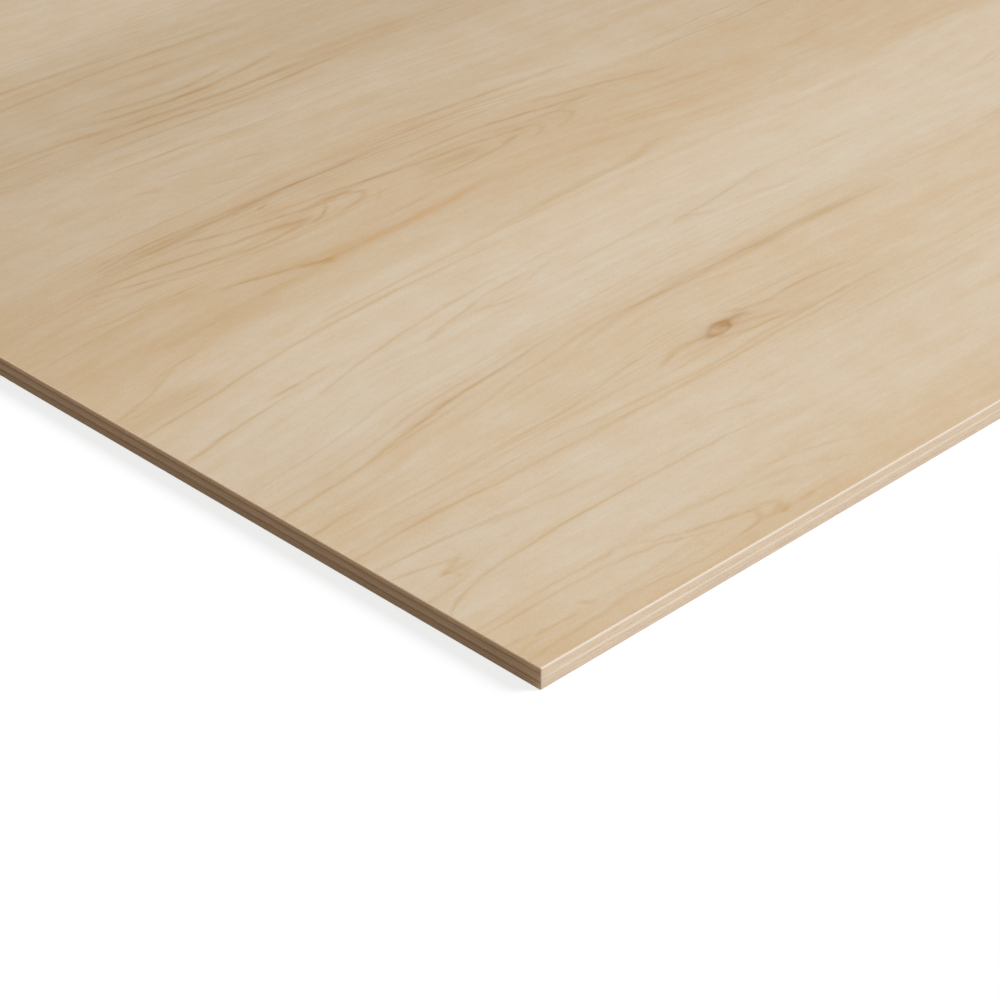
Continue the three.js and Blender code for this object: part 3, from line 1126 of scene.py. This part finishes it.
def edge_material(name, low, high, grain_along, side, side_stripe, end, end_stripe):
    """A veneer's cut edge between the heights low and high in mm. Where its grain runs along the
    edge it shows long fibres, and where the grain meets the edge it shows open pores and the
    slanting checks that the peeling knife left."""
    is_top = high == THICKNESS_MM
    f = Finish(name)
    _, x, y, z = f.coordinates_mm()
    along = f.plus(x, y)
    from_end = f.minus(LENGTH_MM / 2, f.math("ABSOLUTE", f.plus(x, -LENGTH_MM / 2)))
    from_side = f.minus(WIDTH_MM / 2, f.math("ABSOLUTE", f.plus(y, -WIDTH_MM / 2)))
    at_end = f.smooth(f.minus(from_side, from_end), -CORNER_BLEND, CORNER_BLEND)
    cross_cut = at_end if grain_along else f.minus(1.0, at_end)

    lean = CHECK_LEAN_AT_ENDS if grain_along else CHECK_LEAN_AT_SIDES
    climbing = f.joined(along, f.times_plus(along, FIBRE_CLIMB, z))
    leaning = f.joined(f.times_plus(z, lean, along), z)
    fibres = f.noise(climbing, *LONG_FIBRES, seed_shift=low)
    checks = f.noise(leaning, *CHECKS, seed_shift=low)
    blotch = f.noise(climbing, *BLOTCHES, seed_shift=low)
    grain = f.times_plus(cross_cut, f.minus(checks, fibres), fibres)

    depth = f.past(z, low, high - low)
    stripe = f.ridge(f.vary(depth, blotch, STRIPE_WANDER), STRIPE_AT, STRIPE_HALF)
    # The end colours, partly painted shade, come in full at the left end, in shade, and only in part at
    # the right end, in the light.
    end_tone_and_painted_shade = f.times(at_end, f.smooth(x, 0, LENGTH_MM, 1.0, RIGHT_END_PAINTED_SHADE_SHARE))
    colour = f.mix(end_tone_and_painted_shade, f.mix(stripe, side, side_stripe), f.mix(stripe, end, end_stripe))
    light = f.vary(1.0, grain, f.times_plus(at_end, GRAIN_CONTRAST_AT_ENDS, GRAIN_CONTRAST))
    light = f.vary(light, blotch, BLOTCH_CONTRAST)
    colour = f.brighten(colour, light)

    glue = f.times_plus(at_end, GLUE_SHARE_AT_ENDS, GLUE_SHARE)
    if low > 0:
        soaked = f.smooth(z, low + GLUE_SOAKED_ABOVE, low)
        colour = f.mix(f.times(soaked, glue), colour, GLUE_BROWN)
    if not is_top:
        soaked = f.smooth(z, high - GLUE_SOAKED_BELOW, high)
        colour = f.mix(f.times(soaked, glue), colour, GLUE_BROWN)
    # Painted highlight on the top arris of the ends, strongest at the left end, which is in shade.
    if is_top:
        end_arris_highlight = below_top(f, z, END_HIGHLIGHT_BELOW_TOP, END_HIGHLIGHT_SHARE)
        colour = f.mix(f.times(end_arris_highlight, end_tone_and_painted_shade), colour, END_ARRIS_PAINTED_HIGHLIGHT)
    # Pale worn wood and a painted highlight on the sides' top arris and on the upright corners.
    from_end_low, from_end_high = (radius * UPRIGHT_CORNER_MM for radius in CORNER_WEAR_AND_HIGHLIGHT_FROM_END)
    wear_and_highlight = f.smooth(from_end, from_end_low, from_end_high, 0.0, CORNER_WEAR_AND_HIGHLIGHT_SHARE)
    if is_top:
        wear_and_highlight = f.math("MAXIMUM", wear_and_highlight, below_top(f, z, WEAR_AND_HIGHLIGHT_BELOW_TOP, WEAR_AND_HIGHLIGHT_SHARE))
    colour = f.mix(f.times(wear_and_highlight, f.minus(1.0, at_end)), colour, WORN_ARRIS_AND_HIGHLIGHT)
    return f.done(colour, CUT_EDGE_ROUGHNESS, grain, CUT_EDGE_HEIGHT)


# -------------------------------- the sheet

# The colours of the veneers' cut edges, on the long sides and on the ends. The ends' colours are partly
# painted shade, warmer and darker than the sides'.
TAN = srgb(206, 184, 157)
TAN_LIGHT = srgb(206, 187, 163)
PALE = srgb(211, 197, 179)
TAN_LOW = srgb(203, 182, 159)
DULL = srgb(200, 180, 157)
END_WARM = srgb(204, 166, 126)
END_MIDDLE = srgb(208, 172, 137)
END_DARK = srgb(173, 136, 99)
# The lower veneers' end colours are lighter, as painted light that offsets the shade near the floor, and
# redder.
END_RED_WITH_PAINTED_LIGHT = srgb(222, 181, 142)
END_RED_DARK_WITH_PAINTED_LIGHT = srgb(180, 142, 103)
END_LOW_WITH_PAINTED_LIGHT = srgb(218, 180, 142)

# How far the inner veneers' cut edges stand back from the outer ones'.
CROSSBAND_INSET = 0.02 * MM
CORE_INSET = 0.01 * MM

VENEERS = [
    # CAD node and finish slot, rounded top and bottom, inset of the cut edge, whether the grain runs
    # along the sheet, and colours of its cut edge: long sides and their stripe, ends and their stripe
    ("face_veneer", "face_veneer", True, False, 0.0, True,
     (TAN_LIGHT, TAN_LIGHT, END_WARM, END_WARM)),
    ("upper_crossband", "crossband", False, False, CROSSBAND_INSET, False,
     (TAN, TAN, END_MIDDLE, END_DARK)),
    ("core_veneer", "core_veneer", False, False, CORE_INSET, True,
     (TAN_LIGHT, PALE, END_MIDDLE, END_MIDDLE)),
    ("lower_crossband", "crossband", False, False, CROSSBAND_INSET, False,
     (TAN_LOW, TAN_LOW, END_RED_WITH_PAINTED_LIGHT, END_RED_DARK_WITH_PAINTED_LIGHT)),
    ("back_veneer", "back_veneer", False, True, 0.0, True,
     (DULL, DULL, END_LOW_WITH_PAINTED_LIGHT, END_LOW_WITH_PAINTED_LIGHT)),
]


def build_sheet():
    """Makes the veneers, with their finishes, and puts each in the place of its CAD node."""
    glued = glued_material()
    tops = {"face_veneer": face_materials()}
    undersides = {"back_veneer": back_material()}
    for k, (node, slot, round_top, round_bottom, inset, grain_along, colours) in enumerate(VENEERS):
        low, high = (corner[2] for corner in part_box(node))
        name = node + "_sheet"
        top = tops.get(node, [glued])
        cuts = [edge * MM - HALF_WIDTH for edge in BAND_EDGES] if len(top) > 1 else []
        seed = SEED + SEED_STEP * k
        piece = make_veneer(name, low, high, round_top, round_bottom, inset, cuts, seed)
        edge = edge_material(node + " cut edge", low / MM, high / MM, grain_along, *colours)
        for material in (edge, *top, undersides.get(node, glued)):
            piece.data.materials.append(material)
        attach(piece, BODY)
        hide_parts(node)


# -------------------------------- studio

# The camera stands off the front left corner, level from side to side, at these distances from it
# along the sheet, across it and up, and looks along its heading and down by its tilt.
CAMERA_FROM_CORNER = (-1.1237, -1.0907, 1.1313)
CAMERA_HEADING = math.radians(45.14)
CAMERA_TILT = math.radians(32.05)
CAMERA_LENS = 103.49
SENSOR_WIDTH = 36.0
FARTHEST_SEEN = 200.0

# The key is a broad sun. Its light comes from this direction, whatever its distance.
KEY_DIRECTION = (0.60, -0.53, 0.60)
KEY_DISTANCE = 5
KEY_STRENGTH = 3.9
KEY_ANGLE = math.radians(24)
SKY_STRENGTH = 0.28
WHITE = (1, 1, 1, 1)

FLOOR_SIZE = 60.0
FLOOR_ROUGHNESS = 0.9
FLOOR_GREY = srgb(205, 205, 205)

# Seen directly, the floor is near white and keeps a faint shadow.
FLOOR_GREY_SEEN = srgb(128, 128, 128)
FLOOR_GLOW_SEEN = 0.785


def axes_matrix(right, up, back, place):
    """A matrix from an object's own axes and place, each in world terms."""
    columns = np.array([right, up, back, place], dtype=float).T
    return Matrix(np.vstack([columns, [0, 0, 0, 1]]).tolist())


def build_camera():
    """The camera, from where it stands and which way it looks."""
    forward = np.array([
        math.cos(CAMERA_HEADING) * math.cos(CAMERA_TILT),
        math.sin(CAMERA_HEADING) * math.cos(CAMERA_TILT),
        -math.sin(CAMERA_TILT),
    ])
    right = np.array([math.sin(CAMERA_HEADING), -math.cos(CAMERA_HEADING), 0.0])
    up = np.cross(right, forward)
    corner = np.array([-HALF_LENGTH, -HALF_WIDTH, 0.0])
    data = bpy.data.cameras.new("camera")
    data.sensor_width = SENSOR_WIDTH
    data.lens = CAMERA_LENS
    data.clip_end = FARTHEST_SEEN
    camera = bpy.data.objects.new("camera", data)
    camera.matrix_world = axes_matrix(right, up, -forward, corner + CAMERA_FROM_CORNER)
    bpy.context.scene.collection.objects.link(camera)
    bpy.context.scene.camera = camera


def build_light():
    """The key light, turned so that its back points where its light comes from."""
    data = bpy.data.lights.new("key", "SUN")
    data.energy = KEY_STRENGTH
    data.angle = KEY_ANGLE
    key = bpy.data.objects.new("key", data)
    back = np.array(KEY_DIRECTION) / np.linalg.norm(KEY_DIRECTION)
    right = np.cross([0, 0, 1], back)
    right /= np.linalg.norm(right)
    key.matrix_world = axes_matrix(right, np.cross(back, right), back, back * KEY_DISTANCE)
    bpy.context.scene.collection.objects.link(key)


def build_sky():
    """A white sky that lights the scene gently and is seen at full strength."""
    world = bpy.data.worlds.new("studio")
    world.use_nodes = True
    tree = world.node_tree
    sky = tree.nodes["Background"]
    sky.inputs["Color"].default_value = WHITE
    path = tree.nodes.new("ShaderNodeLightPath")
    seen = tree.nodes.new("ShaderNodeMapRange")
    seen.inputs["To Min"].default_value = SKY_STRENGTH
    seen.inputs["To Max"].default_value = 1.0
    tree.links.new(path.outputs["Is Camera Ray"], seen.inputs["Value"])
    tree.links.new(seen.outputs[0], sky.inputs["Strength"])
    bpy.context.scene.world = world


def build_floor():
    """A wide grey floor, which looks near white where it is seen directly."""
    mesh = bpy.data.meshes.new("floor")
    reach = FLOOR_SIZE / 2
    corners = [(-reach, -reach, 0), (reach, -reach, 0), (reach, reach, 0), (-reach, reach, 0)]
    mesh.from_pydata(corners, [], [(0, 1, 2, 3)])
    floor = bpy.data.objects.new("floor", mesh)
    bpy.context.scene.collection.objects.link(floor)
    f = Finish("pale floor")
    seen = f.node("ShaderNodeLightPath").outputs["Is Camera Ray"]
    f.put(f.shader.inputs["Base Color"], f.mix(seen, FLOOR_GREY, FLOOR_GREY_SEEN))
    f.shader.inputs["Roughness"].default_value = FLOOR_ROUGHNESS
    f.shader.inputs["Emission Color"].default_value = WHITE
    f.put(f.shader.inputs["Emission Strength"], f.times(seen, FLOOR_GLOW_SEEN))
    mesh.materials.append(f.material)


build_camera()
build_light()
build_sky()
build_floor()
build_sheet()

bpy.context.scene.view_settings.view_transform = "Standard"
